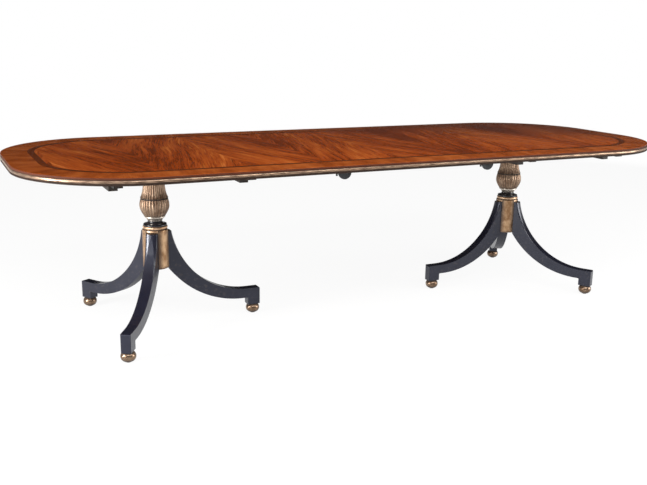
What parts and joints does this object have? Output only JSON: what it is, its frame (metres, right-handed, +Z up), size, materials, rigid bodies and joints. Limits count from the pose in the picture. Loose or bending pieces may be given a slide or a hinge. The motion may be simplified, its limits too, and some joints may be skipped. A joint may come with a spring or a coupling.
{
  "type": "double pedestal dining table",
  "caption": "Pedestal dining table with a rounded flame mahogany top, loose centre leaf, gilt edge moulding, reeded gilt columns, black sabre legs and ball feet.",
  "frame": {"origin": "on the floor under the middle of the table top", "axes": "+X along the length of the table, to the right in the picture, +Y across it, away from the camera, +Z up"},
  "size_m": [3.048, 1.2192, 0.762],
  "materials": {
    "core_board": "plain sealed board",
    "flame_mahogany": "polished",
    "dark_inlay": "polished",
    "crossband_mahogany": "polished",
    "gilt_moulding": "antique gilt",
    "antique_gilt": "antique gilt with a dark wash",
    "gilt_feet": "burnished gilt",
    "black_lacquer": "satin black lacquer",
    "dark_stained_wood": "dark stain, matt",
    "blackened_iron": "blackened",
    "pin_brass": "turned",
    "steel": "zinc plated",
    "felt": "felt"
  },
  "bodies": {
    "left_end": {"left_ball_feet": "gilt_feet", "left_bearer_screws": "steel", "left_collar": "antique_gilt", "left_end_core": "core_board", "left_end_crossband": "crossband_mahogany", "left_end_edge_moulding": "gilt_moulding", "left_end_field_veneer": "flame_mahogany", "left_end_inlay_band": "dark_inlay", "left_end_keeper_screws": "steel", "left_end_keepers": "blackened_iron", "left_glides": "felt", "left_hub": "antique_gilt", "left_inner_bearer": "dark_stained_wood", "left_leg_back": "black_lacquer", "left_leg_front": "black_lacquer", "left_leg_inner": "black_lacquer", "left_outer_bearer": "dark_stained_wood", "left_pillar_block": "dark_stained_wood", "left_reeded_bulb": "antique_gilt", "left_reeded_neck": "antique_gilt", "left_scotia": "black_lacquer", "left_tie_rod": "steel", "left_tie_rod_nuts": "steel"},
    "leaf": {"leaf_core": "core_board", "leaf_crossbands": "crossband_mahogany", "leaf_edge_mouldings": "gilt_moulding", "leaf_field_veneer": "flame_mahogany", "leaf_hardware_screws": "steel", "leaf_inlay_bands": "dark_inlay", "leaf_keepers": "blackened_iron", "leaf_lock_plates": "blackened_iron", "leaf_seam_pins": "pin_brass"},
    "right_end": {"right_ball_feet": "gilt_feet", "right_bearer_screws": "steel", "right_collar": "antique_gilt", "right_end_core": "core_board", "right_end_crossband": "crossband_mahogany", "right_end_edge_moulding": "gilt_moulding", "right_end_field_veneer": "flame_mahogany", "right_end_inlay_band": "dark_inlay", "right_end_lock_plates": "blackened_iron", "right_end_lock_screws": "steel", "right_end_seam_pins": "pin_brass", "right_glides": "felt", "right_hub": "antique_gilt", "right_inner_bearer": "dark_stained_wood", "right_leg_back": "black_lacquer", "right_leg_front": "black_lacquer", "right_leg_inner": "black_lacquer", "right_outer_bearer": "dark_stained_wood", "right_pillar_block": "dark_stained_wood", "right_reeded_bulb": "antique_gilt", "right_reeded_neck": "antique_gilt", "right_scotia": "black_lacquer", "right_tie_rod": "steel", "right_tie_rod_nuts": "steel"},
    "left_seam_back_lever": {"left_seam_back_lever": "blackened_iron"},
    "left_seam_front_lever": {"left_seam_front_lever": "blackened_iron"},
    "right_seam_back_lever": {"right_seam_back_lever": "blackened_iron"},
    "right_seam_front_lever": {"right_seam_front_lever": "blackened_iron"}
  },
  "joints": [
    {"name": "leaf_pull", "type": "slide", "parent": "left_end", "child": "leaf", "axis": [1, 0, 0], "range_m": [0, 0.3]},
    {"name": "right_end_pull", "type": "slide", "parent": "leaf", "child": "right_end", "axis": [1, 0, 0], "range_m": [0, 0.3]},
    {"name": "left_seam_front_lever_turn", "type": "hinge", "parent": "leaf", "child": "left_seam_front_lever", "pos_m": [-0.316, -0.5686, 0.727], "axis": [0, 0, 1], "range_deg": [0, 90]},
    {"name": "left_seam_back_lever_turn", "type": "hinge", "parent": "leaf", "child": "left_seam_back_lever", "pos_m": [-0.316, 0.5686, 0.727], "axis": [0, 0, -1], "range_deg": [0, 90]},
    {"name": "right_seam_front_lever_turn", "type": "hinge", "parent": "right_end", "child": "right_seam_front_lever", "pos_m": [0.37, -0.5686, 0.727], "axis": [0, 0, 1], "range_deg": [0, 90]},
    {"name": "right_seam_back_lever_turn", "type": "hinge", "parent": "right_end", "child": "right_seam_back_lever", "pos_m": [0.37, 0.5686, 0.727], "axis": [0, 0, -1], "range_deg": [0, 90]}
  ]
}
